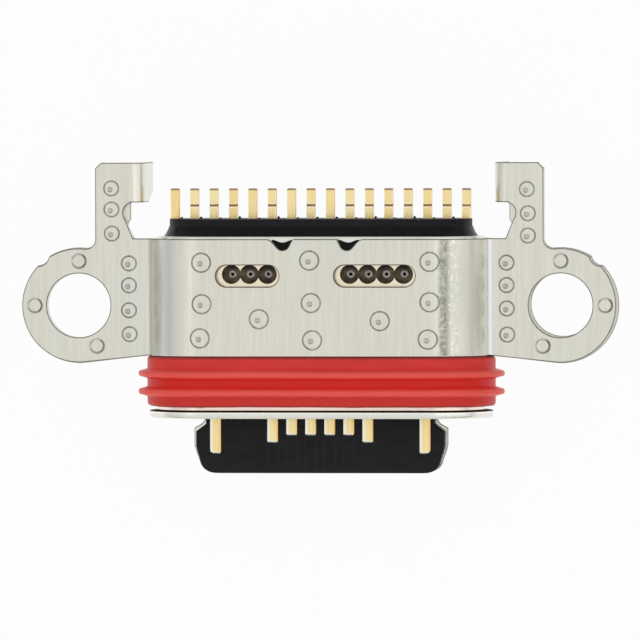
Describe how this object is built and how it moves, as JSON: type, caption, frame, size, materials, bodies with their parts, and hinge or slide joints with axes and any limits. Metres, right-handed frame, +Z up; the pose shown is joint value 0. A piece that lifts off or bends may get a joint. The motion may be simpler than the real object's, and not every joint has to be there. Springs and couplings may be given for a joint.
{
  "type": "charging port",
  "caption": "Sealed oval charging port with a bare contact tongue, ribbed rubber seal, stacked sheet-metal screw brackets, grounding legs and a row of solder tails.",
  "frame": {"origin": "midway between the two screw holes, on the plane where the upper and lower bracket sheets meet", "axes": "+X across the port from screw ear to screw ear, +Y from the tongue's tip to the solder tails, +Z up through the screw holes"},
  "size_m": [0.0156, 0.0081, 0.0038],
  "materials": {
    "bracket_steel": "satin",
    "shell_steel": "bright",
    "plate_steel": "bright",
    "seal_rubber": "satin",
    "moulding_plastic": "matt",
    "carrier_plastic": "matt",
    "potting": "gloss",
    "contact_gold": "bright plated"
  },
  "bodies": {
    "root": {"upper_bracket": "bracket_steel", "lower_bracket": "bracket_steel", "shell": "shell_steel", "seal_ring": "seal_rubber", "tongue_moulding": "moulding_plastic", "upper_contact_carrier": "carrier_plastic", "lower_contact_carrier": "carrier_plastic", "mid_plate": "plate_steel", "upper_ground_plate": "plate_steel", "lower_ground_plate": "plate_steel", "rear_potting": "potting", "upper_contact_1": "contact_gold", "upper_contact_2": "contact_gold", "upper_contact_3": "contact_gold", "upper_contact_4": "contact_gold", "upper_contact_5": "contact_gold", "upper_contact_6": "contact_gold", "upper_contact_7": "contact_gold", "upper_contact_8": "contact_gold", "lower_contact_1": "contact_gold", "lower_contact_2": "contact_gold", "lower_contact_3": "contact_gold", "lower_contact_4": "contact_gold", "lower_contact_5": "contact_gold", "lower_contact_6": "contact_gold", "lower_contact_7": "contact_gold", "lower_contact_8": "contact_gold"}
  },
  "joints": []
}
